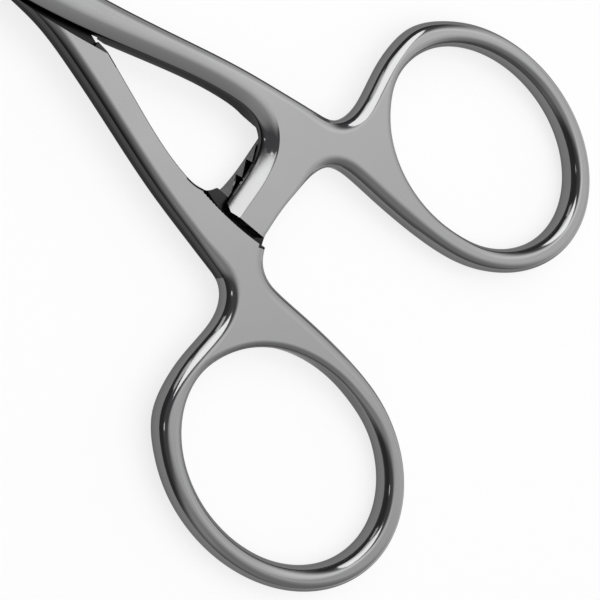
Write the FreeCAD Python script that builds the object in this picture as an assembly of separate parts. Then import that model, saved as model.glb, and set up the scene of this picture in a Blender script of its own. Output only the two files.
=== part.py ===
import FreeCAD, Part
import math
import os

from FreeCAD import Vector

# Tongue forceps in steel: two one-piece halves that cross in a lap joint and turn on a slotted screw.
# Millimetres. X runs from the pivot to the finger rings, Y to the ring of the upper half, Z is up.
# The instrument lies on its side. The pivot's axis is the Z axis, and z = 0 is the joint's underside.
# Each half is drawn about its middle plane with its ring at +Y, and the lower one is turned over.

# Plate
THICKNESS = 3.6
JOINT_WIDTH = 5.7

# Middle line of a half from the jaw's heel to the waist: x, y and width across
JAW_ARM_LINE = [
    (-62.5, -1.5, 2.4),
    (-54.0, -3.7, 2.9),
    (-43.0, -5.7, 3.2),
    (-32.0, -5.9, 3.5),
    (-21.0, -4.2, 3.8),
    (-12.0, -2.05, 4.2),
    (-6.5, -0.78, 4.75),
]
JOINT_LINE = [
    (0.0, 0.0, JOINT_WIDTH),
    (6.5, 0.82, 4.75),
    (12.0, 2.28, 4.15),
    (20.0, 4.84, 3.7),
]
GRIP_LINE = [(29.0, 7.36, 3.85)]
SHANK_LINE = JAW_ARM_LINE + JOINT_LINE + GRIP_LINE

# Finger ring: an oval hole in a bar that is wider at the far end than at the sides
RING_CENTRE_X = 61.4
RING_CENTRE_Y = 23.85
HOLE_LENGTH = 31.6
HOLE_WIDTH = 23.1
BAR_END = 3.6
BAR_SIDE = 2.95
RING_TURN = 5.0
RING_STEP = 16

# Ratchet arms, which pass each other face to face between the shanks
ARM_RIGHT = 42.2
ARM_WIDTH = 5.85
LOWER_ARM_EXTRA = 1.1
ARM_REACH = 5.1
ARM_END_LEAN = 0.25
ARM_END_BOW = 0.1
ARM_CHAMFER = 0.95
ARM_CORNER = 0.6
TOOTH_PITCH = 2.27
TOOTH_DEPTH = 0.6
TOOTH_COUNT = 3
TOOTH_START = 2.9
TOOTH_INSET = 1.4
TOOTH_GAP = 0.16

# Wall at an arm's root, in front of the other arm's end: how far it runs to both sides, and where its foot and
# its top lie beside that end, at the end's left corner and at the right
ROOT_RUN = 5.45
ROOT_OVERLAP = 1.4
ROOT_FOOT = (3.6, 5.4, 5.25)
ROOT_TOP = (5.43, 6.1, 5.85)

# Edge bands: width beside the flat face, drop, and form: 1 is round, 0 a flat bevel, -1 hollow
SHANK_OUTER_EDGE = (1.6, 1.5, 0.7)
SHANK_INNER_EDGE = (1.4, 0.75, 0.0)
SHANK_UNDER_EDGE = (0.3, 0.3, 1.0)
JAW_ARM_EDGE = (0.9, 1.2, 1.0)
WAIST_EDGE = (1.7, 1.55, 0.8)
RING_EDGE = (1.38, 1.65, 1.0)
PALM_EDGE = (1.5, 1.3, 0.8)
HOLE_PALM_EDGE = (0.9, 0.8, 0.8)
ARM_LEFT_EDGE = (1.9, 1.3, -1.0)
ARM_RIGHT_EDGE = (0.5, 0.45, 1.0)

# Levels of a band of each form, as shares of its width and drop
BEVEL_LEVELS = [(1.0, 0.0), (0.22, 0.45), (0.055, 0.65), (0.0, 1.0)]
HOLLOW_LEVELS = [(1.0, 0.0), (0.84, 0.3), (0.25, 0.6), (0.0, 1.0)]
ROUND_TURN = 90.0

# Lap joint
LAP_GAP = 0.04
SHOULDER_CLEARANCE = 0.15
SHOULDER_FLARE = 0.115

# Jaw: an upright oval loop with cross serrations on its gripping face, and a heel that flares into it
JAW_START = -60.0
JAW_LENGTH = 24.0
JAW_WIDTH = 12.0
JAW_PLATE = 2.6
JAW_RIM = 3.1
JAW_END_RADIUS = 4.5
WINDOW_END_RADIUS = 2.1
JAW_GAP = 0.25
JAW_EDGE_ROUND = 0.9
HEEL_LENGTH = 12.0
HEEL_START_HEIGHT = 3.35
HEEL_START_WIDTH = 2.85
HEEL_END_HEIGHT = 8.35
HEEL_END_WIDTH = 2.55
HEEL_CUT = 0.28
HEEL_LEVELS = 5
SERRATION_PITCH = 1.5
SERRATION_DEPTH = 0.35

# Pivot screw, held in the lower half and turning in the upper one
SCREW_RADIUS = 1.3
SCREW_CLEARANCE = 0.04
THREAD_CLEARANCE = 0.01
HEAD_RADIUS = 2.0
HEAD_DEPTH = 0.8
HEAD_RISE = 0.2
HEAD_CLEARANCE = 0.06
HEAD_EDGE = 0.2
SLOT_WIDTH = 0.6
SLOT_DEPTH = 0.45
SLOT_TURN = 35.0

# How finely the outline and its bands are drawn
OUTLINE_SPACING = 5.0
HOLE_STEP = 20

HALF_PLATE = THICKNESS / 2.0
MARGIN = 2.0
UP = Vector(0, 0, 1)


def on_ellipse(half_length, half_width, angle):
    """Point of the finger ring's turned ellipse, with the angle in degrees."""
    along = half_length * math.cos(math.radians(angle))
    across = half_width * math.sin(math.radians(angle))
    c = math.cos(math.radians(RING_TURN))
    s = math.sin(math.radians(RING_TURN))
    return RING_CENTRE_X + along * c - across * s, RING_CENTRE_Y + along * s + across * c


def shank_edges(inner_edge):
    """Guide points of the shank's upper edge towards +X, and of its lower edge back again."""
    line = Part.BSplineCurve()
    line.interpolate([Vector(x, y, 0) for x, y, width in SHANK_LINE])
    upper = []
    lower = []
    for x, y, width in SHANK_LINE:
        tangent = line.tangent(line.parameter(Vector(x, y, 0)))[0]
        across = Vector(-tangent.y, tangent.x, 0) * (width / 2.0)
        upper_edge = JAW_ARM_EDGE if x < 0 else SHANK_OUTER_EDGE
        lower_edge = JAW_ARM_EDGE if x < 0 else inner_edge
        upper.append((x + across.x, y + across.y) + upper_edge)
        lower.append((x - across.x, y - across.y) + lower_edge)
    return upper, lower[::-1]


def waist_points():
    """Outer edge from the shank into the finger ring."""
    return [
        (36.0, 10.9) + SHANK_OUTER_EDGE,
        (39.4, 11.66) + WAIST_EDGE,
        (41.5, 12.35) + WAIST_EDGE,
        (42.8, 13.75) + WAIST_EDGE,
        (43.4, 15.9) + WAIST_EDGE,
        (43.25, 18.6) + WAIST_EDGE,
        (42.8, 22.2) + WAIST_EDGE,
        (42.85, 25.6) + RING_EDGE,
    ]


def ring_points():
    """Outer edge of the ring's free bar, round the far end."""
    half_length = HOLE_LENGTH / 2.0 + BAR_END
    half_width = HOLE_WIDTH / 2.0 + BAR_SIDE
    return [on_ellipse(half_length, half_width, angle) + RING_EDGE for angle in range(152, -89, -RING_STEP)]


def palm_points():
    """Inner edge from the ring to the root of the ratchet arm."""
    return [
        (57.6, 8.98) + PALM_EDGE,
        (52.6, 8.8) + PALM_EDGE,
        (48.4, 8.72) + PALM_EDGE,
        (45.9, 8.3) + PALM_EDGE,
        (44.3, 7.2) + PALM_EDGE,
        (43.35, 5.5) + PALM_EDGE,
        (42.6, 2.5) + ARM_RIGHT_EDGE,
    ]


def arm_points(left, left_edge, inner_edge):
    """The ratchet arm, drawn longer than it is: its end face is cut afterwards."""
    tip = -2.0 * ARM_REACH
    shoulder = tip + 1.0
    return [
        (ARM_RIGHT, -1.5) + ARM_RIGHT_EDGE,
        (ARM_RIGHT, -ARM_REACH - 1.0) + ARM_RIGHT_EDGE,
        (ARM_RIGHT - 0.9, shoulder) + ARM_RIGHT_EDGE,
        ((ARM_RIGHT + left) / 2.0, tip) + ARM_RIGHT_EDGE,
        (left + 0.9, shoulder) + ARM_RIGHT_EDGE,
        (left, -ARM_REACH - 1.0) + left_edge,
        (left, -1.5) + left_edge,
        (left - 0.2, 1.8) + left_edge,
        (left - 1.1, 4.1) + left_edge,
        (left - 3.3, 5.5) + inner_edge,
    ]


def outline(left, left_edge, inner_edge):
    """Guide points around one half: edge point, band width, drop and form."""
    upper, lower = shank_edges(inner_edge)
    arm = arm_points(left, left_edge, inner_edge)
    return upper + waist_points() + ring_points() + palm_points() + arm + lower


def hole_outline():
    """Guide points around the finger hole, whose band is narrower where it meets the palm."""
    points = []
    for angle in range(0, 360, HOLE_STEP):
        edge = HOLE_PALM_EDGE if 190 <= angle <= 290 else RING_EDGE
        points.append(on_ellipse(HOLE_LENGTH / 2.0, HOLE_WIDTH / 2.0, angle) + edge)
    return points


def band_profile(width, drop, form):
    """Inset and depth of each level of an edge band, from the flat face down to the wall."""
    levels = []
    for k, bevel in enumerate(BEVEL_LEVELS):
        turn = math.radians(ROUND_TURN) * k / (len(BEVEL_LEVELS) - 1.0)
        other = (1.0 - math.sin(turn), 1.0 - math.cos(turn)) if form > 0 else HOLLOW_LEVELS[k]
        inset, depth = [a + (b - a) * abs(form) for a, b in zip(bevel, other)]
        levels.append((width * inset, drop * depth))
    return levels


def band_levels(points, side):
    """Points of each band level around an outline, above or below, spaced along the guide points' spline."""
    around = list(points) + [points[0]]
    guide = Part.BSplineCurve()
    guide.interpolate([Vector(p[0], p[1], 0) for p in around])
    params = [guide.parameter(Vector(p[0], p[1], 0)) for p in points[1:]]
    params = [guide.FirstParameter] + params + [guide.LastParameter]
    rows = [[] for level in BEVEL_LEVELS]
    for k, (here, there) in enumerate(zip(around, around[1:])):
        span = math.hypot(there[0] - here[0], there[1] - here[1])
        pieces = max(1, round(span / OUTLINE_SPACING))
        for i in range(pieces):
            share = i / pieces
            at = params[k] + (params[k + 1] - params[k]) * share
            edge = [a + (b - a) * share for a, b in zip(here[2:], there[2:])]
            tangent = guide.tangent(at)[0]
            inward = Vector(tangent.y, -tangent.x, 0)
            for row, (inset, depth) in zip(rows, band_profile(*edge)):
                row.append(guide.value(at) + inward * inset + UP * side * (HALF_PLATE - depth))
    return [row + [row[0]] for row in rows]


def through(points, params):
    """Cubic spline through points at given parameters."""
    curve = Part.BSplineCurve()
    curve.interpolate(Points=points, Parameters=params)
    return curve


def strip(first, second):
    """Surface that runs straight from one closed spline to another with the same knots."""
    surface = Part.BSplineSurface()
    surface.buildFromPolesMultsKnots(
        [[a, b] for a, b in zip(first.getPoles(), second.getPoles())],
        first.getMultiplicities(),
        [2, 2],
        first.getKnots(),
        [0.0, 1.0],
        False,
        False,
        3,
        1,
    )
    return surface.toShape()


def banded_solid(above, below):
    """Solid with a flat face above and below, edge bands beside both and a wall between them."""
    upper_rows = band_levels(above, 1)
    params = [0.0]
    for a, b in zip(upper_rows[-1], upper_rows[-1][1:]):
        params.append(params[-1] + (b - a).Length)
    curves = [through(row, params) for row in upper_rows + band_levels(below, -1)[::-1]]
    faces = [strip(a, b) for a, b in zip(curves, curves[1:])]
    faces += [Part.Face(Part.Wire([curve.toShape()])) for curve in (curves[0], curves[-1])]
    skin = Part.Compound(faces)
    skin.sewShape()
    solid = Part.Solid(skin.Shells[0])
    if solid.Volume < 0:
        solid.reverse()
    return solid


def plate(left):
    """A half's flat plate with its edge bands, ring hole and full-thickness ratchet arm."""
    above = outline(left, ARM_LEFT_EDGE, SHANK_INNER_EDGE)
    below = outline(left, SHANK_UNDER_EDGE, SHANK_UNDER_EDGE)
    hole = hole_outline()
    return banded_solid(above, below).cut(banded_solid(hole, hole))


def prism(points, low, high):
    """Upright prism on a polygon."""
    corners = [Vector(x, y, low) for x, y in points]
    return Part.Face(Part.makePolygon(corners + corners[:1])).extrude(UP * (high - low))


def shoulder():
    """Edge of the lap recess on the ring's side: the other half's edge and room that grows outwards."""
    edges = shank_edges(SHANK_INNER_EDGE)[1][::-1]
    near = [p for p in edges if JOINT_LINE[0][0] <= p[0] <= JOINT_LINE[-1][0]]
    line = Part.BSplineCurve()
    line.interpolate([Vector(x, -y + SHOULDER_CLEARANCE + SHOULDER_FLARE * x, 0) for x, y, *edge in near])
    return line.toShape()


def lap_recess():
    """What the other half takes away from this one's underside in the joint, alike on both sides."""
    wires = []
    for turn in (0, 180):
        curve = shoulder()
        curve.rotate(Vector(0, 0, 0), UP, turn)
        wires.append(curve)
    first, last = [edge.Vertexes for edge in wires]
    corners = [first[-1].Point, first[-1].Point - Vector(0, 2.0 * JOINT_WIDTH, 0), last[0].Point]
    back = [last[-1].Point, last[-1].Point + Vector(0, 2.0 * JOINT_WIDTH, 0), first[0].Point]
    wires += Part.makePolygon(corners).Edges + Part.makePolygon(back).Edges
    face = Part.Face(Part.Wire(Part.__sortEdges__(wires)))
    face.translate(UP * (-HALF_PLATE - MARGIN))
    return face.extrude(UP * (HALF_PLATE + MARGIN + LAP_GAP / 2.0))


def bounded_by(a, b, c, low):
    """Wire of the arc through three points and straight lines that close it at y = low."""
    d = Vector(c.x, low, c.z)
    e = Vector(a.x, low, a.z)
    return Part.Wire(
        [Part.Arc(a, b, c).toShape(), Part.makeLine(c, d), Part.makeLine(d, e), Part.makeLine(e, a)]
    )


def arm_end_cut(left):
    """Takes off the arm beyond its end face, which is gently rounded and leans to the joint."""
    middle = (left + ARM_RIGHT) / 2.0
    reach = ARM_WIDTH + LOWER_ARM_EXTRA
    bottom = -HALF_PLATE - MARGIN
    a = Vector(middle - reach, -ARM_REACH - ARM_END_LEAN, bottom)
    b = Vector(middle, -ARM_REACH, bottom)
    c = Vector(middle + reach, -ARM_REACH + ARM_END_BOW, bottom)
    return Part.Face(bounded_by(a, b, c, -4.0 * ARM_REACH)).extrude(UP * (THICKNESS + 2.0 * MARGIN))


def arm_corner_cut(left):
    """Takes off the upright corner between the arm's end and its joint side."""
    high = (left - MARGIN, -ARM_REACH + MARGIN + ARM_CORNER)
    low = (left + MARGIN + ARM_CORNER, -ARM_REACH - MARGIN)
    return prism([high, low, (high[0], low[1])], -HALF_PLATE - MARGIN, HALF_PLATE + MARGIN)


def arm_underside_cut(left):
    """Takes away the arm's lower half, and leaves a wall at its root that leans back from the other arm."""
    other = 2.0 * (ARM_RIGHT - ARM_WIDTH) - LOWER_ARM_EXTRA - left
    places = (other - ROOT_RUN, other, ARM_RIGHT + ROOT_OVERLAP)
    sections = []
    for height in (-HALF_PLATE - MARGIN, TOOTH_GAP / 2.0):
        lean = -height / HALF_PLATE
        points = [Vector(x, a + (b - a) * lean, height) for x, a, b in zip(places, ROOT_FOOT, ROOT_TOP)]
        sections.append(bounded_by(*points, -3.0 * ARM_REACH))
    return Part.makeLoft(sections, True, True)


def tooth_cuts(start):
    """Saw teeth across the arm's mating face: steep towards the shank's side, sloping to the tip."""
    cuts = []
    across = Vector(ARM_RIGHT - start + MARGIN, 0, 0)
    crest = TOOTH_GAP / 2.0
    for k in range(TOOTH_COUNT):
        y = TOOTH_START - k * TOOTH_PITCH
        corners = [
            Vector(start, y, crest),
            Vector(start, y - TOOTH_PITCH, crest),
            Vector(start, y - TOOTH_PITCH, crest + TOOTH_DEPTH),
        ]
        cuts.append(Part.Face(Part.makePolygon(corners + corners[:1])).extrude(across))
    return cuts


def arm_chamfer_cut(left):
    """Bevels the mating face's edge on the arm's joint side."""
    low = -ARM_REACH - MARGIN
    base = TOOTH_GAP / 2.0
    corners = [
        Vector(left - MARGIN, low, base - MARGIN),
        Vector(left + ARM_CHAMFER + MARGIN, low, base - MARGIN),
        Vector(left + ARM_CHAMFER, low, base),
        Vector(left, low, base + ARM_CHAMFER),
        Vector(left - MARGIN, low, base + ARM_CHAMFER),
    ]
    return Part.Face(Part.makePolygon(corners + corners[:1])).extrude(Vector(0, ROOT_FOOT[0] - low, 0))


def oval(half_length, half_width, end_radius, y):
    """Upright oval of four tangent arcs, centred on the jaw."""
    centre_x = JAW_START - JAW_LENGTH / 2.0
    side_radius = (half_length**2 + half_width**2 - 2.0 * half_length * end_radius) / (2.0 * (half_width - end_radius))
    end_centre = half_length - end_radius
    drop = side_radius - half_width
    lean = math.atan2(end_centre, drop)
    join = Vector(side_radius * math.sin(lean), 0, side_radius * math.cos(lean) - drop)
    edges = []
    for start, middle, end in (
        ((-join.x, join.z), (0, half_width), (join.x, join.z)),
        ((join.x, join.z), (half_length, 0), (join.x, -join.z)),
        ((join.x, -join.z), (0, -half_width), (-join.x, -join.z)),
        ((-join.x, -join.z), (-half_length, 0), (-join.x, join.z)),
    ):
        points = [Vector(centre_x + px, y, pz) for px, pz in (start, middle, end)]
        edges.append(Part.Arc(*points).toShape())
    return Part.Wire(edges)


def jaw():
    """Oval loop plate: rounded back edges, open window and a serrated face on the closing plane."""
    face_y = -JAW_GAP / 2.0
    depth = Vector(0, -JAW_PLATE, 0)
    body = Part.Face(oval(JAW_LENGTH / 2.0, JAW_WIDTH / 2.0, JAW_END_RADIUS, face_y)).extrude(depth)
    back = [e for e in body.Edges if abs(e.CenterOfMass.y - face_y + JAW_PLATE) < 1e-6 and len(e.Vertexes) == 2]
    body = body.makeFillet(JAW_EDGE_ROUND, back)
    window_length = JAW_LENGTH / 2.0 - JAW_RIM
    window_width = JAW_WIDTH / 2.0 - JAW_RIM
    window = Part.Face(oval(window_length, window_width, WINDOW_END_RADIUS, face_y + MARGIN))
    body = body.cut(window.extrude(depth + Vector(0, -2.0 * MARGIN, 0)))
    grooves = []
    count = int(JAW_LENGTH / SERRATION_PITCH) - 1
    for k in range(count):
        x = JAW_START - JAW_LENGTH / 2.0 + (k - (count - 1) / 2.0) * SERRATION_PITCH
        corners = [
            Vector(x - SERRATION_DEPTH, face_y, -JAW_WIDTH),
            Vector(x, face_y - SERRATION_DEPTH, -JAW_WIDTH),
            Vector(x + SERRATION_DEPTH, face_y, -JAW_WIDTH),
        ]
        grooves.append(Part.Face(Part.makePolygon(corners + corners[:1])).extrude(UP * (2.0 * JAW_WIDTH)))
    return body.cut(Part.Compound(grooves))


def heel_section(x, y, width, height):
    """Eight-cornered section across the arm, in the plane of constant x."""
    cut = min(width, height) * HEEL_CUT
    half_w = width / 2.0
    half_h = height / 2.0
    corners = [
        (half_w, half_h - cut),
        (half_w - cut, half_h),
        (-half_w + cut, half_h),
        (-half_w, half_h - cut),
        (-half_w, -half_h + cut),
        (-half_w + cut, -half_h),
        (half_w - cut, -half_h),
        (half_w, -half_h + cut),
    ]
    points = [Vector(x, y + a, b) for a, b in corners]
    return Part.makePolygon(points + points[:1])


def heel():
    """Flare that widens the jaw arm into the upright loop."""
    plate_middle = -JAW_GAP / 2.0 - JAW_PLATE / 2.0
    line = Part.BSplineCurve()
    line.interpolate([Vector(x, y, 0) for x, y, width in SHANK_LINE])
    end = JAW_START - JAW_RIM / 2.0
    sections = []
    for k in range(HEEL_LEVELS):
        share = k / (HEEL_LEVELS - 1.0)
        x = end + HEEL_LENGTH * (1.0 - share)
        on_line = line.value(line.parameter(Vector(x, JAW_ARM_LINE[1][1], 0)))
        middle = on_line.y + (plate_middle - on_line.y) * share**2
        height = HEEL_START_HEIGHT + (HEEL_END_HEIGHT - HEEL_START_HEIGHT) * share**2
        width = HEEL_START_WIDTH + (HEEL_END_WIDTH - HEEL_START_WIDTH) * share
        sections.append(heel_section(x, middle, width, height))
    return Part.makeLoft(sections, True, True)


def half(left, arm_details):
    """One complete half about its middle plane, before the pivot's holes."""
    body = plate(left)
    body = body.cut(arm_end_cut(left))
    body = body.cut(arm_corner_cut(left))
    body = body.cut(arm_underside_cut(left))
    body = body.cut(Part.Compound(arm_details))
    body = body.cut(lap_recess())
    return body.fuse([heel(), jaw()])


def pin(radius, low, high):
    return Part.makeCylinder(radius, high - low, Vector(0, 0, low))


def upper_half():
    left = ARM_RIGHT - ARM_WIDTH
    seat = HALF_PLATE - HEAD_DEPTH
    body = half(left, tooth_cuts(left + TOOTH_INSET))
    body = body.cut(pin(SCREW_RADIUS + SCREW_CLEARANCE, -HALF_PLATE - MARGIN, HALF_PLATE + MARGIN))
    return body.cut(pin(HEAD_RADIUS + HEAD_CLEARANCE, seat, HALF_PLATE + MARGIN))


def lower_half():
    left = ARM_RIGHT - ARM_WIDTH - LOWER_ARM_EXTRA
    body = half(left, tooth_cuts(left - MARGIN) + [arm_chamfer_cut(left)])
    body.rotate(Vector(0, 0, 0), Vector(1, 0, 0), 180)
    return body.cut(pin(SCREW_RADIUS + THREAD_CLEARANCE, -HALF_PLATE - MARGIN, HALF_PLATE + MARGIN))


def pivot_screw():
    """Slotted screw: shank flush with the underside, head sunk in the upper half."""
    seat = HALF_PLATE - HEAD_DEPTH + LAP_GAP / 2.0
    crown = HALF_PLATE + HEAD_RISE
    head = pin(HEAD_RADIUS, seat, crown)
    rim = [e for e in head.Edges if abs(e.CenterOfMass.z - crown) < 1e-6 and e.isClosed()]
    head = head.makeChamfer(HEAD_EDGE, rim)
    slot = Part.makeBox(
        4.0 * HEAD_RADIUS,
        SLOT_WIDTH,
        SLOT_DEPTH + MARGIN,
        Vector(-2.0 * HEAD_RADIUS, -SLOT_WIDTH / 2.0, crown - SLOT_DEPTH),
    )
    slot.rotate(Vector(0, 0, 0), UP, SLOT_TURN)
    return pin(SCREW_RADIUS, -HALF_PLATE, seat).fuse(head).cut(slot)


def write(shape, name):
    shape = shape.removeSplitter()
    solids = shape.Solids
    shape = solids[0] if len(solids) == 1 else Part.Compound(solids)
    shape.translate(UP * HALF_PLATE)
    print(name, len(solids), "solid, valid:", shape.isValid())
    shape.exportStep("parts/" + name + ".step")


os.makedirs("parts", exist_ok=True)
write(upper_half(), "upper_half")
write(lower_half(), "lower_half")
write(pivot_screw(), "pivot_screw")
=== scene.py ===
import math

import bmesh
import bpy
import numpy as np
from mathutils import Matrix, Vector
from mathutils.geometry import delaunay_2d_cdt


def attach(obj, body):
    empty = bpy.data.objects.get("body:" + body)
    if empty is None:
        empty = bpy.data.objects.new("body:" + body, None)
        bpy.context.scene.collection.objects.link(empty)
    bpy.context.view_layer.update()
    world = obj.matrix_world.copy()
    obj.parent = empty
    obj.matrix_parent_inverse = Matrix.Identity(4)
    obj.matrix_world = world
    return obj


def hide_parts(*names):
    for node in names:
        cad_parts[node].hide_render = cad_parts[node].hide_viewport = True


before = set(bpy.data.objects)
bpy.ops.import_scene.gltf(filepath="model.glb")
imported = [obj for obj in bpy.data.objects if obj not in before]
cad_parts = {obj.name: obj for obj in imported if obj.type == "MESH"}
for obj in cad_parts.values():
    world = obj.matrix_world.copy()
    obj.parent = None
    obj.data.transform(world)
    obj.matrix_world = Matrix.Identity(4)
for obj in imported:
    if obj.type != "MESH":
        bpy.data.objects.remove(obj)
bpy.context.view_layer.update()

# Steel tongue forceps lying on a pale table. Shapes are worked out in millimetres about the joint's middle
# plane, with the pivot at the origin, and turned into metres in the shared frame at the end.

MM = 0.001
THICKNESS = 3.6
HALF_PLATE = THICKNESS / 2

# Middle line of a half: x, y and width, from the jaw to the ring
JAW_ARM_LINE = [
    (-62.5, -1.5, 2.4), (-54.0, -3.7, 2.9), (-43.0, -5.7, 3.2), (-32.0, -5.9, 3.5), (-21.0, -4.2, 3.8),
    (-12.0, -2.05, 4.2), (-6.5, -0.78, 4.75),
]
JOINT_LINE = [(0.0, 0.0, 5.7), (6.5, 0.82, 4.75), (12.0, 2.28, 4.15), (20.0, 4.84, 3.7)]
SHANK_LINE = JAW_ARM_LINE + JOINT_LINE + [(29.0, 7.36, 3.85)]
RING_CENTRE = (61.4, 23.85)
HOLE = (15.8, 11.55)
BAR_END = 3.6
BAR_SIDE = 2.95
RING_TURN = math.radians(5)
ARM_RIGHT = 42.2
ARM_WIDTH = 5.85
LOWER_ARM_EXTRA = 1.1
ARM_REACH = 5.1
ARM_END_LEAN = 0.25
ARM_END_BOW = 0.1
ARM_CHAMFER = 0.95
ARM_CORNER = 0.6
TOOTH_PITCH = 2.27
TOOTH_DEPTH = 0.6
TOOTH_COUNT = 3
TOOTH_START = 2.9
TOOTH_INSET = 1.4
TOOTH_GAP = 0.16
TOOTH_CUT = 0.3
ROOT_RUN = 5.45
ROOT_OVERLAP = 1.4
ROOT_FOOT = (3.6, 5.4, 5.25)
ROOT_TOP = (5.43, 6.1, 5.85)
LAP_GAP = 0.04
SHOULDER_CLEARANCE = 0.15
SHOULDER_FLARE = 0.115
RAMP_RUN = 1.8
RAMP_STEP = -0.7
RAMP_START = 12.4
RAMP_SIDE = 1.5
RAMP_UP = (0.3, 0.97)

# Edge bands: width, drop and form (1 round, 0 the shank's bevel, -1 the arm's domed bevel)
SHANK_OUTER = (1.25, 1.4, 0.9)
SHANK_INNER = (2.25, 0.85, 0.0)
SHANK_UNDER = (0.3, 0.3, 1.0)
JAW_ARM = (0.9, 1.2, 1.0)
WAIST = (1.7, 1.55, 0.8)
RING = (1.38, 1.65, 1.0)
PALM = (1.5, 1.3, 0.8)
HOLE_PALM = (0.9, 0.8, 0.8)
ARM_LEFT = (1.9, 1.3, -1.0)
ARM_SIDE = (0.5, 0.45, 1.0)
BAND_LEVELS = 13

# Forms of a band: share of its levels, share of its width, share of its drop
BEVEL = [
    (0, 1, 0), (1 / 12, 0.891, 0.008), (2 / 12, 0.783, 0.032), (3 / 12, 0.674, 0.07), (4 / 12, 0.565, 0.13),
    (6 / 12, 0.134, 0.506), (7 / 12, 0.085, 0.559), (9 / 12, 0.0335, 0.682), (10 / 12, 0.02, 0.76),
    (11 / 12, 0.008, 0.86), (1, 0, 1),
]
ARM_BEVEL = [
    (0, 1, 0), (1 / 12, 0.965, 0.05), (3 / 12, 0.76, 0.182), (5 / 12, 0.56, 0.331), (7 / 12, 0.38, 0.483),
    (9 / 12, 0.22, 0.635), (10 / 12, 0.1, 0.775), (11 / 12, 0.03, 0.911), (1, 0, 1),
]

# Distance between points along an outline, and how far band sizes blend into each other
SPACING = 0.4
BLEND = 1.6

# Tools that cut a half reach this far past its faces
PAST = 2

# Jaw
JAW_START = -60.0
JAW_LENGTH = 24.0
JAW_WIDTH = 12.0
JAW_PLATE = 2.6
JAW_RIM = 3.1
JAW_END_RADIUS = 4.5
WINDOW_END_RADIUS = 2.1
JAW_GAP = 0.25
JAW_EDGE_ROUND = 0.9
WINDOW_EDGE_ROUND = 0.25
SERRATION_PITCH = 1.5
SERRATION_DEPTH = 0.35
HEEL_LENGTH = 12.0
HEEL_HEIGHT = (3.35, 8.35)
HEEL_WIDTH = (2.85, 2.55)

# Painted light and shade on a half's faces: how much light the painted shade leaves on the lap faces and the arm's
# root, how far the painted shade is lifted, as painted light, on the teeth and the rings' upright sides from x =
# WAIST_START on, and how much rougher the arm's bevel is
LAP_RECESS_LIGHT = 0.1
ROOT_RECESS_LIGHT = 0.1
TOOTH_SHADE_LIFT = 0.6
RING_SIDE_LIGHT = 0.35
WAIST_START = 41.0
ARM_HAZE = 0.14

# Cosine above which a face counts as flat, and the angle between faces from which an edge is crisp
FLAT = 0.99999
CRISP_ANGLE = math.radians(24)

SCREW_HOLE = 1.31
UPPER_HOLE = 1.34
HEAD_SEAT = 2.06
HEAD_DEPTH = 0.8


class Spline:
    """Cubic spline through points, with chord length as its parameter."""

    def __init__(self, points, closed):
        p = np.array(points, float)
        if closed:
            p = np.vstack([p, p[:1]])
        n = len(p)
        h = np.linalg.norm(np.diff(p, axis=0), axis=1)
        slope = np.diff(p, axis=0) / h[:, None]
        a = np.eye(n)
        b = np.zeros(p.shape)
        for i in range(1, n - 1):
            a[i, i - 1:i + 2] = h[i - 1], 2 * (h[i - 1] + h[i]), h[i]
            b[i] = 6 * (slope[i] - slope[i - 1])
        if closed:
            a[0] = 0
            a[0, [n - 2, 0, 1]] = h[-1], 2 * (h[-1] + h[0]), h[0]
            b[0] = 6 * (slope[0] - slope[-1])
            a[n - 1, 0] = -1
        self.points, self.h, self.bend = p, h, np.linalg.solve(a, b)

    def at(self, i, share):
        """Position and unit tangent at a share of span i."""
        p, q = self.points[i], self.points[i + 1]
        m, n = self.bend[i], self.bend[i + 1]
        h = self.h[i]
        t = h * share
        place = (m * (h - t) ** 3 + n * t**3) / (6 * h) + (p / h - m * h / 6) * (h - t) + (q / h - n * h / 6) * t
        slope = (n * t**2 - m * (h - t) ** 2) / (2 * h) + (q - p) / h - (n - m) * h / 6
        return place, slope / np.linalg.norm(slope)


def on_ellipse(half_length, half_width, angle):
    """Point on a turned ellipse round the ring's centre, at an angle in degrees."""
    along = half_length * math.cos(math.radians(angle))
    across = half_width * math.sin(math.radians(angle))
    c, s = math.cos(RING_TURN), math.sin(RING_TURN)
    return RING_CENTRE[0] + along * c - across * s, RING_CENTRE[1] + along * s + across * c


def shank_edges(inner=SHANK_INNER):
    """Guide points of a half's two long edges, with their bands, the second from the ring to the jaw."""
    line = Spline([(x, y) for x, y, width in SHANK_LINE], False)
    upper, lower = [], []
    for i, (x, y, width) in enumerate(SHANK_LINE):
        span = min(i, len(SHANK_LINE) - 2)
        tangent = line.at(span, i - span)[1]
        across = np.array((-tangent[1], tangent[0])) * width / 2
        upper.append((x + across[0], y + across[1]) + (JAW_ARM if x < 0 else SHANK_OUTER))
        lower.append((x - across[0], y - across[1]) + (JAW_ARM if x < 0 else inner))
    return upper, lower[::-1]


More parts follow.
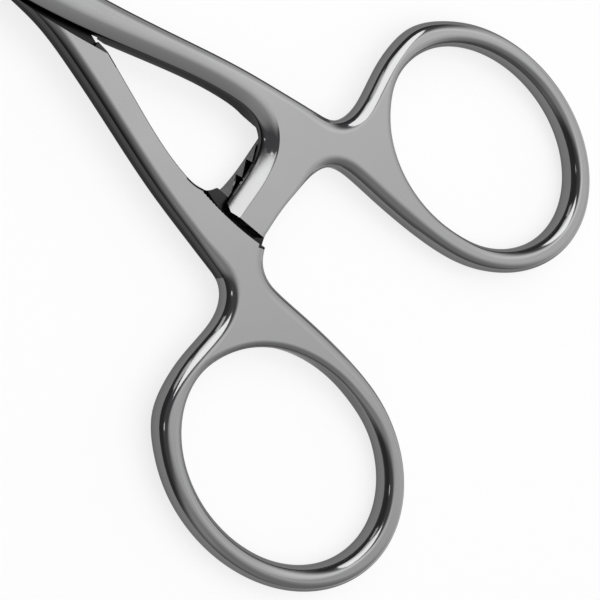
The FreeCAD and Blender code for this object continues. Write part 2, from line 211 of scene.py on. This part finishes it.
def outline(left, arm_left, inner):
    """Guide points around a half: edge point, band width, drop and form."""
    upper, lower = shank_edges(inner)
    waist = [
        (36.0, 10.9) + SHANK_OUTER, (39.4, 11.66) + WAIST, (41.5, 12.35) + WAIST, (42.8, 13.75) + WAIST,
        (43.4, 15.9) + WAIST, (43.25, 18.6) + WAIST, (42.8, 22.2) + WAIST, (42.85, 25.6) + RING,
    ]
    ring = [on_ellipse(HOLE[0] + BAR_END, HOLE[1] + BAR_SIDE, angle) + RING for angle in range(152, -89, -16)]
    palm = [
        (57.6, 8.98) + PALM, (52.6, 8.8) + PALM, (48.4, 8.72) + PALM, (45.9, 8.3) + PALM, (44.3, 7.2) + PALM,
        (43.35, 5.5) + PALM, (42.6, 2.5) + ARM_SIDE,
    ]
    tip = -2 * ARM_REACH
    arm = [
        (ARM_RIGHT, -1.5) + ARM_SIDE, (ARM_RIGHT, -ARM_REACH - 1) + ARM_SIDE, (ARM_RIGHT - 0.9, tip + 1) + ARM_SIDE,
        ((ARM_RIGHT + left) / 2, tip) + ARM_SIDE, (left + 0.9, tip + 1) + ARM_SIDE,
        (left, -ARM_REACH - 1) + arm_left, (left, -1.5) + arm_left, (left - 0.2, 1.8) + arm_left,
        (left - 1.1, 4.1) + arm_left, (left - 3.3, 5.5) + inner,
    ]
    return upper + waist + ring + palm + arm + lower


def hole_outline():
    points = []
    for angle in range(0, 360, 20):
        points.append(on_ellipse(HOLE[0], HOLE[1], angle) + (HOLE_PALM if 190 <= angle <= 290 else RING))
    return points


def band_rows(points, side):
    """Rows of points from a flat face's edge to the wall; side is 1 above and -1 below."""
    guide = Spline([p[:2] for p in points], True)
    edges = [p[2:] for p in points]
    places, tangents, bands = [], [], []
    for i in range(len(points)):
        pieces = max(2, round(guide.h[i] / SPACING))
        here, there = np.array(edges[i]), np.array(edges[(i + 1) % len(points)])
        for k in range(pieces):
            place, tangent = guide.at(i, k / pieces)
            places.append(place)
            tangents.append(tangent)
            bands.append(here + (there - here) * k / pieces)
    places, tangents, bands = map(np.array, (places, tangents, bands))
    reach = int(BLEND / SPACING)
    bands = sum(np.roll(bands, k, axis=0) for k in range(-reach, reach + 1)) / (2 * reach + 1)
    inward = np.stack([tangents[:, 1], -tangents[:, 0]], axis=1)
    width, drop, form = bands.T
    rounded, domed = form.clip(0, 1), (-form).clip(0, 1)
    plain = 1 - rounded - domed
    rows = []
    for level in range(BAND_LEVELS):
        share = level / (BAND_LEVELS - 1)
        turn = math.pi / 2 * share
        bevel, arm_bevel = (
            [np.interp(share, *np.array(table)[:, [0, k]].T) for k in (1, 2)] for table in (BEVEL, ARM_BEVEL)
        )
        inset = rounded * (1 - math.sin(turn)) + plain * bevel[0] + domed * arm_bevel[0]
        depth = rounded * (1 - math.cos(turn)) + plain * bevel[1] + domed * arm_bevel[1]
        flat = places + inward * (width * inset)[:, None]
        rows.append(np.column_stack([flat, side * (HALF_PLATE - drop * depth)]))
    return rows


def inside(polygon, points):
    """True for each point that lies in the polygon."""
    x, y = points[:, 0], points[:, 1]
    hit = np.zeros(len(points), bool)
    for (ax, ay), (bx, by) in zip(polygon, np.roll(polygon, -1, axis=0)):
        crosses = (ay > y) != (by > y)
        hit ^= crosses & (x < (bx - ax) * (y - ay) / (by - ay + 1e-30) + ax)
    return hit


def cap(loops, start, keep):
    """Triangles that fill the first flat loop and leave the others open."""
    flat = [loop[:, keep] for loop in loops]
    points = np.vstack(flat)
    edges = []
    base = 0
    for loop in flat:
        n = len(loop)
        edges += [(base + i, base + (i + 1) % n) for i in range(n)]
        base += n
    found = delaunay_2d_cdt([Vector(p) for p in points], edges, [], 1, 1e-7)
    origin = [ids[0] if ids else -1 for ids in found[3]]
    faces = [[origin[v] for v in face] for face in found[2]]
    faces = [face for face in faces if min(face) >= 0]
    middles = np.array([points[face].mean(axis=0) for face in faces])
    good = inside(flat[0], middles)
    for loop in flat[1:]:
        good &= ~inside(loop, middles)
    index = np.concatenate(start)
    return [[int(index[v]) for v in face] for face, ok in zip(faces, good) if ok]


def shell(row_sets, keep):
    """Closed mesh from rows of points: one set for the outside, others for through holes."""
    points, faces, tops, ends = [], [], [], []
    for rows in row_sets:
        n = len(rows[0])
        ids = []
        for row in rows:
            ids.append(np.arange(len(points), len(points) + n))
            points += [tuple(p) for p in row]
        for a, b in zip(ids, ids[1:]):
            faces += [(int(a[i]), int(a[(i + 1) % n]), int(b[(i + 1) % n]), int(b[i])) for i in range(n)]
        tops.append(ids[0])
        ends.append(ids[-1])
    faces += cap([rows[0] for rows in row_sets], tops, keep)
    faces += cap([rows[-1] for rows in row_sets], ends, keep)
    return solid(points, faces)


def solid(points, faces):
    """Object from points and faces, with its normals turned outwards."""
    mesh = bpy.data.meshes.new("work")
    mesh.from_pydata(points, [], faces)
    bm = bmesh.new()
    bm.from_mesh(mesh)
    bmesh.ops.remove_doubles(bm, verts=bm.verts, dist=1e-5)
    bmesh.ops.recalc_face_normals(bm, faces=bm.faces)
    bm.to_mesh(mesh)
    bm.free()
    made = bpy.data.objects.new("work", mesh)
    bpy.context.scene.collection.objects.link(made)
    return made


def loft(sections):
    """Closed body through sections of equally many points, with flat ends."""
    n = len(sections[0])
    points = [p for section in sections for p in section]
    faces = [tuple(range(n)), tuple(range(len(points) - n, len(points)))]
    for k in range(len(sections) - 1):
        for i in range(n):
            a, b = k * n + i, k * n + (i + 1) % n
            faces.append((a, b, b + n, a + n))
    return solid(points, faces)


def prism(corners, low, high):
    return loft([[(x, y, z) for x, y in corners] for z in (low, high)])


def pin(radius, low, high, sides=96):
    turn = [2 * math.pi * k / sides for k in range(sides)]
    return prism([(radius * math.cos(t), radius * math.sin(t)) for t in turn], low, high)


def combine(body, tool, operation):
    """Boolean of two closed bodies; the tool is used up."""
    change = body.modifiers.new("change", "BOOLEAN")
    change.operation = operation
    change.solver = "EXACT"
    change.object = tool
    made = bpy.data.meshes.new_from_object(body.evaluated_get(bpy.context.evaluated_depsgraph_get()))
    body.modifiers.clear()
    body.data = made
    bpy.data.objects.remove(tool)


def arc(a, b, c, pieces=24):
    """Points on the circle arc from a through b to c."""
    (ax, ay), (bx, by), (cx, cy) = a, b, c
    d = 2 * (ax * (by - cy) + bx * (cy - ay) + cx * (ay - by))
    ux = ((ax**2 + ay**2) * (by - cy) + (bx**2 + by**2) * (cy - ay) + (cx**2 + cy**2) * (ay - by)) / d
    uy = ((ax**2 + ay**2) * (cx - bx) + (bx**2 + by**2) * (ax - cx) + (cx**2 + cy**2) * (bx - ax)) / d
    radius = math.hypot(ax - ux, ay - uy)
    start, middle, end = (math.atan2(y - uy, x - ux) for x, y in (a, b, c))
    sweep = (end - start) % (2 * math.pi)
    if (middle - start) % (2 * math.pi) > sweep:
        sweep -= 2 * math.pi
    turns = [start + sweep * k / pieces for k in range(pieces + 1)]
    return [(ux + radius * math.cos(t), uy + radius * math.sin(t)) for t in turns]


def arm_cuts(left, teeth_from, chamfered):
    """Tools that shape the ratchet arm: end face, corner, underside, chamfer and teeth."""
    middle = (left + ARM_RIGHT) / 2
    reach = ARM_WIDTH + LOWER_ARM_EXTRA
    low = -4 * ARM_REACH
    end = arc(
        (middle - reach, -ARM_REACH - ARM_END_LEAN), (middle, -ARM_REACH), (middle + reach, -ARM_REACH + ARM_END_BOW),
    )
    yield prism(end + [(end[-1][0], low), (end[0][0], low)], -HALF_PLATE - PAST, HALF_PLATE + PAST)
    corner = [(left - PAST, -ARM_REACH + PAST + ARM_CORNER), (left + PAST + ARM_CORNER, -ARM_REACH - PAST)]
    yield prism(corner + [(left - PAST, -ARM_REACH - PAST)], -HALF_PLATE - PAST, HALF_PLATE + PAST)
    other = 2 * (ARM_RIGHT - ARM_WIDTH) - LOWER_ARM_EXTRA - left
    base = TOOTH_GAP / 2
    sections = []
    for height in (-HALF_PLATE - PAST, base):
        lean = -height / HALF_PLATE
        places = zip((other - ROOT_RUN, other, ARM_RIGHT + ROOT_OVERLAP), ROOT_FOOT, ROOT_TOP)
        line = arc(*[(x, foot + (top - foot) * lean) for x, foot, top in places])
        sections.append([(x, y, height) for x, y in line + [(line[-1][0], low), (line[0][0], low)]])
    yield loft(sections)
    profile = [
        (left - PAST, base - PAST), (left + ARM_CHAMFER + PAST, base - PAST), (left + ARM_CHAMFER, base),
        (left, base + ARM_CHAMFER), (left - PAST, base + ARM_CHAMFER),
    ]
    if chamfered:
        yield loft([[(x, y, z) for x, z in profile] for y in (-ARM_REACH - PAST, ROOT_FOOT[0])])
    for k in range(TOOTH_COUNT):
        y = TOOTH_START - k * TOOTH_PITCH
        end = y - TOOTH_PITCH
        profile = [(y, base - TOOTH_CUT), (y, base), (end, base + TOOTH_DEPTH), (end, base - TOOTH_CUT)]
        yield loft([[(x, y, z) for y, z in profile] for x in (teeth_from, ARM_RIGHT + PAST)])


def lap_recess():
    """Room for the other half on this one's underside, alike on both sides of the pivot, with a ramp at its end
    towards the ring.
    """
    near = [p for p in shank_edges()[1][::-1] if JOINT_LINE[0][0] <= p[0] <= JOINT_LINE[-1][0]]
    line = Spline([(p[0], -p[1] + SHOULDER_CLEARANCE + SHOULDER_FLARE * p[0]) for p in near], False)
    side = [tuple(line.at(i, k / 16)[0]) for i in range(len(near) - 1) for k in range(16)] + [tuple(line.points[-1])]
    turned = [(-x, -y) for x, y in side]
    far = 2 * JOINT_LINE[0][2]
    corners = side + [(side[-1][0], side[-1][1] - far)] + turned + [(turned[-1][0], turned[-1][1] + far)]
    yield prism(corners, -HALF_PLATE - PAST, LAP_GAP / 2)
    x, y = side[-1]
    slope = (side[-1][1] - side[-2][1]) / (side[-1][0] - side[-2][0])
    low = -HALF_PLATE - PAST
    ramp = []
    for along, top in ((-0.1, RAMP_STEP), (0, RAMP_STEP), (RAMP_RUN, -HALF_PLATE - 0.1)):
        edge = y + slope * along
        ramp.append([
            (x + along, edge, low), (x + along, edge - far, low), (x + along, edge - far, top), (x + along, edge, top),
        ])
    yield loft(ramp)


def oval(half_length, half_width, end_radius, y):
    """Upright oval of tangent arcs round the jaw's middle."""
    centre = JAW_START - JAW_LENGTH / 2
    side = (half_length**2 + half_width**2 - 2 * half_length * end_radius) / (2 * (half_width - end_radius))
    lean = math.atan2(half_length - end_radius, side - half_width)
    x, z = side * math.sin(lean), side * math.cos(lean) - side + half_width
    points = []
    for a, b, c in (
        ((-x, z), (0, half_width), (x, z)), ((x, z), (half_length, 0), (x, -z)),
        ((x, -z), (0, -half_width), (-x, -z)), ((-x, -z), (-half_length, 0), (-x, z)),
    ):
        points += arc(a, b, c, 40)[:-1]
    return np.array([(centre + px, y, pz) for px, pz in points])


def jaw():
    """Upright oval loop with a window and cross serrations on its gripping face."""
    face = -JAW_GAP / 2
    back = face - JAW_PLATE
    outer, window = [], []
    for k in range(7):
        angle = math.pi / 2 * k / 6
        lift, inset = JAW_EDGE_ROUND * (1 - math.sin(angle)), JAW_EDGE_ROUND * (1 - math.cos(angle))
        outer.append((back + lift, inset))
        small = WINDOW_EDGE_ROUND / JAW_EDGE_ROUND
        window.append((back + lift * small, -inset * small))
    outer = [(face, 0.0)] + outer
    window = [(face, 0.0)] + window
    size = (JAW_LENGTH / 2, JAW_WIDTH / 2, JAW_END_RADIUS)
    hole = (JAW_LENGTH / 2 - JAW_RIM, JAW_WIDTH / 2 - JAW_RIM, WINDOW_END_RADIUS)
    body = shell(
        [[oval(*(v - d for v in size), y) for y, d in outer], [oval(*(v - d for v in hole), y) for y, d in window]],
        [0, 2],
    )
    count = int(JAW_LENGTH / SERRATION_PITCH) - 1
    points, faces = [], []
    for k in range(count):
        x = JAW_START - JAW_LENGTH / 2 + (k - (count - 1) / 2) * SERRATION_PITCH
        base = len(points)
        for z in (-JAW_WIDTH, JAW_WIDTH):
            points += [(x - 2 * SERRATION_DEPTH, face + SERRATION_DEPTH, z), (x, face - SERRATION_DEPTH, z)]
            points += [(x + 2 * SERRATION_DEPTH, face + SERRATION_DEPTH, z)]
        faces += [[base + v for v in side] for side in (
            (0, 1, 2), (3, 4, 5), (0, 1, 4, 3), (1, 2, 5, 4), (2, 0, 3, 5),
        )]
    combine(body, solid(points, faces), "DIFFERENCE")
    return body


def heel():
    """Flare from the jaw arm into the upright loop."""
    line = Spline([(x, y) for x, y, width in SHANK_LINE], False)
    plate_middle = -JAW_GAP / 2 - JAW_PLATE / 2
    end = JAW_START - JAW_RIM / 2
    sections = []
    for k in range(13):
        share = k / 12
        x = end + HEEL_LENGTH * (1 - share)
        span = 0 if x < SHANK_LINE[1][0] else 1
        along = (x - SHANK_LINE[span][0]) / (SHANK_LINE[span + 1][0] - SHANK_LINE[span][0])
        on_line = line.at(span, along)[0][1]
        middle = on_line + (plate_middle - on_line) * share**2
        high = (HEEL_HEIGHT[0] + (HEEL_HEIGHT[1] - HEEL_HEIGHT[0]) * share**2) / 2
        wide = (HEEL_WIDTH[0] + (HEEL_WIDTH[1] - HEEL_WIDTH[0]) * share) / 2
        section = []
        for i in range(48):
            turn = 2 * math.pi * i / 48
            c, s = math.cos(turn), math.sin(turn)
            reach = (abs(c) ** 3.2 + abs(s) ** 3.2) ** (-1 / 3.2)
            section.append((x, middle + wide * reach * c, high * reach * s))
        sections.append(section)
    return loft(sections)


def half(left, teeth_from, chamfered, bores):
    """One forging, lying with its ring on the +Y side and its lap recess underneath."""
    above, below = outline(left, ARM_LEFT, SHANK_INNER), outline(left, SHANK_UNDER, SHANK_UNDER)
    hole = hole_outline()
    sets = [band_rows(a, 1) + band_rows(b, -1)[::-1] for a, b in ((above, below), (hole, hole))]
    body = shell(sets, [0, 1])
    for tool in arm_cuts(left, teeth_from, chamfered):
        combine(body, tool, "DIFFERENCE")
    for tool in lap_recess():
        combine(body, tool, "DIFFERENCE")
    for radius, low in bores:
        combine(body, pin(radius, low, HALF_PLATE + PAST), "DIFFERENCE")
    combine(body, heel(), "UNION")
    combine(body, jaw(), "UNION")
    mark_painted_shade_and_haze(body.data, left, chamfered)
    return body


def face_vectors(mesh, name):
    """A vector for each face: its normal or its center."""
    values = np.zeros(len(mesh.polygons) * 3)
    mesh.polygons.foreach_get(name, values)
    return values.reshape(-1, 3)


def crisp_edges(mesh):
    """Sharp where faces meet at an angle, and all round every flat face."""
    normals = face_vectors(mesh, "normal")
    in_jaw = face_vectors(mesh, "center")[:, 0] < JAW_START * MM
    level = (abs(normals[:, 2]) > FLAT) | in_jaw & (abs(normals[:, 1]) > FLAT)
    sizes = np.zeros(len(mesh.polygons), int)
    mesh.polygons.foreach_get("loop_total", sizes)
    owner = np.repeat(np.arange(len(sizes)), sizes)
    edges = np.zeros(len(mesh.loops), int)
    mesh.loops.foreach_get("edge_index", edges)
    order = np.argsort(edges, kind="stable")
    first = np.searchsorted(edges[order], np.arange(len(mesh.edges)))
    a, b = owner[order[first]], owner[order[first + 1]]
    sharp = (normals[a] * normals[b]).sum(axis=1) < math.cos(CRISP_ANGLE)
    sharp |= level[a] != level[b]
    mesh.attributes.new("sharp_edge", "BOOLEAN", "EDGE").data.foreach_set("value", sharp)


def mark_painted_shade_and_haze(mesh, left, covered):
    """Face attributes for the steel: painted shade in the lap recess and at the arm's root, least lightness (painted
    light on the teeth and the rings' sides) and haze.
    """
    x, y, z = face_vectors(mesh, "center").T
    up = abs(face_vectors(mesh, "normal")[:, 2])
    on_arm = (x > left) & (y < TOOTH_START) & (y > -ARM_REACH - 1)
    recess_light = np.ones(len(x))
    # Painted shade: the lap faces between the halves and the ramp next to them get a dark tone
    recess_light[(abs(z - LAP_GAP / 2) < LAP_GAP / 2) & (abs(x) < JOINT_LINE[-1][0])] = LAP_RECESS_LIGHT
    sloped = (z < 0) & (up > RAMP_UP[0]) & (up < RAMP_UP[1])
    recess_light[(x > RAMP_START) & (x < JOINT_LINE[-1][0]) & (y < RAMP_SIDE) & sloped] = LAP_RECESS_LIGHT
    # Painted shade in the cove at the arm's root, on the half whose root the other half covers
    near_root = (x > left - ROOT_RUN) & (x < ARM_RIGHT + 1) & (y > TOOTH_START) & (y < ROOT_TOP[1] + 0.1)
    if covered:
        recess_light[near_root & (z < 0.2) & ((up < FLAT) | (z > 0))] = ROOT_RECESS_LIGHT
    # Painted light: the rings' upright sides and the teeth keep more light than the shanks' sides
    shade_lift = np.where(x > WAIST_START, RING_SIDE_LIGHT, 0.0)
    shade_lift[on_arm & (z < 1) & (z > 0) & (up < FLAT)] = TOOTH_SHADE_LIFT
    arm_bevel = (x > left - 1.5) & (x < left + ARM_LEFT[0]) & (y < 3.5) & (z > 0.3) & (up < FLAT)
    haze = np.where(arm_bevel, ARM_HAZE, 0.0)
    for name, values in (("recess_light", recess_light), ("shade_lift", shade_lift), ("haze", haze)):
        mesh.attributes.new(name, "FLOAT", "FACE").data.foreach_set("value", values)


def dress(body, name, node, body_name, turned):
    """Puts a finished half into the shared frame in metres, with smooth bands and crisp edges."""
    place = Matrix.Translation((0, 0, HALF_PLATE * MM)) @ Matrix.Scale(MM, 4)
    if turned:
        place = place @ Matrix.Rotation(math.pi, 4, "X")
    body.data.transform(place)
    body.name = body.data.name = name
    body.data.polygons.foreach_set("use_smooth", [True] * len(body.data.polygons))
    crisp_edges(body.data)
    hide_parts(node)
    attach(body, body_name)
    return body


left = ARM_RIGHT - ARM_WIDTH
upper = dress(
    half(left, left + TOOTH_INSET, False, [(UPPER_HOLE, -HALF_PLATE - PAST), (HEAD_SEAT, HALF_PLATE - HEAD_DEPTH)]),
    "upper_forging", "upper_half", "upper", False,
)
left -= LOWER_ARM_EXTRA
lower = dress(
    half(left, left - PAST, True, [(SCREW_HOLE, -HALF_PLATE - PAST)]),
    "lower_forging", "lower_half", "lower", True,
)


# Steel: grazing tint of upright sides, part of their painted shade, reach in metres of the painted shade in crevices,
# and the limits between which a polished band turns into a satin face, a side darkened by painted shade into a light
# slope (upward share of the normal) and a crevice with painted shade into open air
SIDE_SHADE_TINT = 0.4
CREVICE_SHADE_REACH = 0.0016
LEVEL_FACE = (0.985, 0.999)
SIDE_SHADE_LIMITS = (0.66, 0.84)
CREVICE_SHADE_LIMITS = (0.55, 0.85)
# Scale of colour and tint where the painted shade in the lap recess and at the arm's root is deepest
DARKEST_RECESS_SCALE = 0.35
CLOUD_SCALE = 160.0
CLOUD_ROUGHNESS = 0.02
GRAIN_SCALE = 2500.0
GRAIN_STRENGTH = 0.015
GRAIN_HEIGHT = 0.00003


def steel(name, face, side, face_roughness, band_roughness, marked):
    """Satin flat faces and polished bands, with upright sides and crevices darkened by painted shade and with fine
    grain; marked where it has attributes.
    """
    material = bpy.data.materials.new(name)
    material.use_nodes = True
    nodes, links = material.node_tree.nodes, material.node_tree.links
    shader = nodes["Principled BSDF"]
    shader.inputs["Metallic"].default_value = 1.0
    spot = nodes.new("ShaderNodeTexCoord")

    def math_node(operation, a, b=None):
        node = nodes.new("ShaderNodeMath")
        node.operation = operation
        links.new(a, node.inputs[0])
        if b is not None:
            links.new(b, node.inputs[1])
        return node.outputs[0]

    def span(source, low, high, bottom, top):
        node = nodes.new("ShaderNodeMapRange")
        for socket, value in (("From Min", low), ("From Max", high), ("To Min", bottom), ("To Max", top)):
            node.inputs[socket].default_value = value
        links.new(source, node.inputs["Value"])
        return node.outputs["Result"]

    def noise(scale, detail):
        node = nodes.new("ShaderNodeTexNoise")
        node.inputs["Scale"].default_value = scale
        node.inputs["Detail"].default_value = detail
        links.new(spot.outputs["Object"], node.inputs["Vector"])
        return node.outputs["Fac"]

    def mark(attribute):
        node = nodes.new("ShaderNodeAttribute")
        node.attribute_name = attribute
        return node.outputs["Fac"]

    def mix(a, b, factor):
        node = nodes.new("ShaderNodeMix")
        node.data_type = "RGBA"
        node.inputs["A"].default_value = a
        node.inputs["B"].default_value = b
        links.new(factor, node.inputs["Factor"])
        return node.outputs["Result"]

    split = nodes.new("ShaderNodeSeparateXYZ")
    links.new(spot.outputs["Normal"], split.inputs[0])
    level = math_node("ABSOLUTE", split.outputs["Z"])
    # Painted shade: ambient occlusion darkens colour and tint in crevices, between the halves and near the table
    crevice_shade = nodes.new("ShaderNodeAmbientOcclusion")
    crevice_shade.inputs["Distance"].default_value = CREVICE_SHADE_REACH
    crevice_shade.samples = 12

    rough = span(level, *LEVEL_FACE, band_roughness, face_roughness)
    rough = math_node("ADD", rough, span(noise(CLOUD_SCALE, 4.0), 0.3, 0.7, -CLOUD_ROUGHNESS, CLOUD_ROUGHNESS))
    crevice_light = span(crevice_shade.outputs["AO"], *CREVICE_SHADE_LIMITS, 0.0, 1.0)
    unshaded = math_node("MULTIPLY", span(level, *SIDE_SHADE_LIMITS, 0.0, 1.0), crevice_light)
    # Where marked, the face attributes lift the painted shade on the teeth and the rings' sides and add painted shade
    # in the lap recess and at the arm's root
    if marked:
        rough = math_node("ADD", rough, mark("haze"))
        unshaded = math_node("MULTIPLY", math_node("MAXIMUM", unshaded, mark("shade_lift")), mark("recess_light"))
    links.new(rough, shader.inputs["Roughness"])

    # Painted shade: upright sides and crevices take the dark side colour and a darker tint
    colour = mix((side, side, side * 1.01, 1), (face, face, face * 1.005, 1), unshaded)
    tint = mix((SIDE_SHADE_TINT, SIDE_SHADE_TINT, SIDE_SHADE_TINT, 1), (1, 1, 1, 1), unshaded)
    for result, socket in ((colour, "Base Color"), (tint, "Specular Tint")):
        # Painted shade in the lap recess and at the arm's root scales colour and tint down
        if marked:
            recess_shade = nodes.new("ShaderNodeVectorMath")
            recess_shade.operation = "SCALE"
            links.new(result, recess_shade.inputs[0])
            links.new(span(mark("recess_light"), 0.0, 1.0, DARKEST_RECESS_SCALE, 1.0), recess_shade.inputs["Scale"])
            result = recess_shade.outputs[0]
        links.new(result, shader.inputs[socket])

    bump = nodes.new("ShaderNodeBump")
    bump.inputs["Strength"].default_value = GRAIN_STRENGTH
    bump.inputs["Distance"].default_value = GRAIN_HEIGHT
    links.new(noise(GRAIN_SCALE, 3.0), bump.inputs["Height"])
    links.new(bump.outputs["Normal"], shader.inputs["Normal"])
    return material


# The third number is the darker colour of upright sides, painted shade
forged = steel("forged_steel", 0.58, 0.09, 0.26, 0.1, True)
turned = steel("turned_steel", 0.58, 0.3, 0.2, 0.14, False)
for piece, finish in ((upper, forged), (lower, forged), (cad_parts["pivot_screw"], turned)):
    piece.data.materials.clear()
    piece.data.materials.append(finish)

# Table: it touches the jaws' lowest rims and the far ends of the rings (x and z), so it tilts a little in this frame
JAW_FOOT = (-72.0, HALF_PLATE - JAW_WIDTH / 2)
RING_FOOT = (76.0, 0.0)


TABLE_REACH = 2500
TABLE_GREY = 0.3
TABLE_GLOW = 0.78
TABLE_MIRRORED = 0.6


def table():
    """Pale table top; its glow, for what the camera sees and the steel mirrors, lights nothing."""
    slope = (RING_FOOT[1] - JAW_FOOT[1]) / (RING_FOOT[0] - JAW_FOOT[0])
    points = []
    for x, y in ((-1, -1), (1, -1), (1, 1), (-1, 1)):
        height = RING_FOOT[1] + (x * TABLE_REACH - RING_FOOT[0]) * slope
        points.append((x * TABLE_REACH * MM, y * TABLE_REACH * MM, height * MM))
    mesh = bpy.data.meshes.new("table")
    mesh.from_pydata(points, [], [(0, 1, 2, 3)])
    made = bpy.data.objects.new("table", mesh)
    bpy.context.scene.collection.objects.link(made)
    material = bpy.data.materials.new("pale_table")
    material.use_nodes = True
    nodes, links = material.node_tree.nodes, material.node_tree.links
    nodes.clear()
    rays = nodes.new("ShaderNodeLightPath")

    def times(source, factor):
        node = nodes.new("ShaderNodeMath")
        node.operation = "MULTIPLY"
        node.inputs[1].default_value = factor
        links.new(source, node.inputs[0])
        return node.outputs[0]

    def add(a, b):
        node = nodes.new("ShaderNodeMath")
        node.use_clamp = True
        links.new(a, node.inputs[0])
        links.new(b, node.inputs[1])
        return node.outputs[0]

    seen = add(rays.outputs["Is Camera Ray"], times(rays.outputs["Is Glossy Ray"], TABLE_MIRRORED))
    seen = add(seen, rays.outputs["Is Transmission Ray"])
    glow = nodes.new("ShaderNodeEmission")
    links.new(times(seen, TABLE_GLOW), glow.inputs["Strength"])
    paint = nodes.new("ShaderNodeBsdfDiffuse")
    paint.inputs["Color"].default_value = (TABLE_GREY, TABLE_GREY, TABLE_GREY, 1)
    both = nodes.new("ShaderNodeAddShader")
    links.new(paint.outputs[0], both.inputs[0])
    links.new(glow.outputs[0], both.inputs[1])
    out = nodes.new("ShaderNodeOutputMaterial")
    links.new(both.outputs[0], out.inputs["Surface"])
    mesh.materials.append(material)


table()


# The sky's grey is SKY_DARK plus the product of its levels along +X and along +Y
SKY_DARK = 0.075
SKY_ALONG_X = [
    (-0.1, 0.0), (0.02, 0.3), (0.12, 0.75), (0.22, 1.0), (0.34, 1.0), (0.4, 0.86), (0.46, 0.74), (0.6, 0.68),
    (0.9, 0.58),
]
SKY_ALONG_Y = [
    (-1.0, 0.26), (-0.35, 0.2), (-0.12, 0.3), (0.05, 0.46), (0.22, 0.74), (0.34, 0.8), (0.7, 0.74), (1.0, 0.5),
]


def studio():
    """Sky that is a grey wall towards +X, lighter towards +Y, and dark behind the camera's left."""
    world = bpy.data.worlds.new("studio")
    bpy.context.scene.world = world
    world.use_nodes = True
    nodes, links = world.node_tree.nodes, world.node_tree.links
    nodes.clear()
    out = nodes.new("ShaderNodeOutputWorld")
    sky = nodes.new("ShaderNodeBackground")
    spot = nodes.new("ShaderNodeTexCoord")
    split = nodes.new("ShaderNodeSeparateXYZ")
    links.new(spot.outputs["Generated"], split.inputs[0])

    def level(axis, table):
        rescale = nodes.new("ShaderNodeMapRange")
        rescale.inputs["From Min"].default_value = -1.0
        rescale.inputs["From Max"].default_value = 1.0
        links.new(split.outputs[axis], rescale.inputs["Value"])
        ramp = nodes.new("ShaderNodeValToRGB")
        links.new(rescale.outputs["Result"], ramp.inputs["Fac"])
        stops = ramp.color_ramp.elements
        stops.remove(stops[1])
        for k, (place, grey) in enumerate(table):
            stop = stops[0] if k == 0 else stops.new((place + 1) / 2)
            stop.position = (place + 1) / 2
            stop.color = (grey, grey, grey, 1)
        return ramp.outputs["Color"]

    product = nodes.new("ShaderNodeVectorMath")
    product.operation = "MULTIPLY_ADD"
    links.new(level("X", SKY_ALONG_X), product.inputs[0])
    links.new(level("Y", SKY_ALONG_Y), product.inputs[1])
    product.inputs[2].default_value = (SKY_DARK, SKY_DARK, SKY_DARK * 1.04)
    links.new(product.outputs[0], sky.inputs["Color"])
    sky.inputs["Strength"].default_value = 1.0
    links.new(sky.outputs[0], out.inputs["Surface"])


studio()


LAMPS_AIM = Vector((0.045, 0, 0))


def softbox(name, azimuth, elevation, distance, size, radiance, mirrored):
    """Square lamp aimed at the object; its power follows from how bright its face looks."""
    data = bpy.data.lights.new(name, "AREA")
    data.size = size
    data.energy = radiance * math.pi * size**2
    a, e = math.radians(azimuth), math.radians(elevation)
    away = Vector((math.cos(a) * math.cos(e), math.sin(a) * math.cos(e), math.sin(e)))
    lamp = bpy.data.objects.new(name, data)
    lamp.location = LAMPS_AIM + away * distance
    lamp.rotation_euler = away.to_track_quat("Z", "Y").to_euler()
    lamp.visible_glossy = mirrored
    bpy.context.scene.collection.objects.link(lamp)


for lamp in (
    ("window", 132, 51, 0.9, 0.72, 1.3, True), ("strip", 170, 31, 0.9, 0.26, 0.9, True),
    ("spark", 228, 45, 0.9, 0.1, 1.2, True), ("overhead", 20, 75, 1.2, 1.4, 0.9, False),
):
    softbox(*lamp)

# Camera: direction back from the object, middle of the view in mm, distance in mm, turn about the view and lens
CAMERA_BACK = (-0.4454, -0.2610, 0.8565)
CAMERA_LOOK = (51.56, -7.39, HALF_PLATE)
CAMERA_DISTANCE = 184
CAMERA_ROLL = math.radians(319.11)
CAMERA_LENS = 91.2


def camera():
    """The photograph's viewing direction, distance and roll."""
    back = Vector(CAMERA_BACK).normalized()
    look = Vector(CAMERA_LOOK) * MM
    ahead = -back
    side = (Vector((1, 0, 0)) - back * back.x).normalized()
    right = math.cos(CAMERA_ROLL) * side + math.sin(CAMERA_ROLL) * ahead.cross(side)
    up = -ahead.cross(right)
    data = bpy.data.cameras.new("camera")
    data.lens = CAMERA_LENS
    data.sensor_width = 36.0
    data.clip_start = 0.01
    made = bpy.data.objects.new("camera", data)
    place = Matrix.Translation(look + back * CAMERA_DISTANCE * MM)
    made.matrix_world = place @ Matrix((right, up, back)).transposed().to_4x4()
    bpy.context.scene.collection.objects.link(made)
    bpy.context.scene.camera = made


camera()

bpy.context.scene.view_settings.view_transform = "Standard"
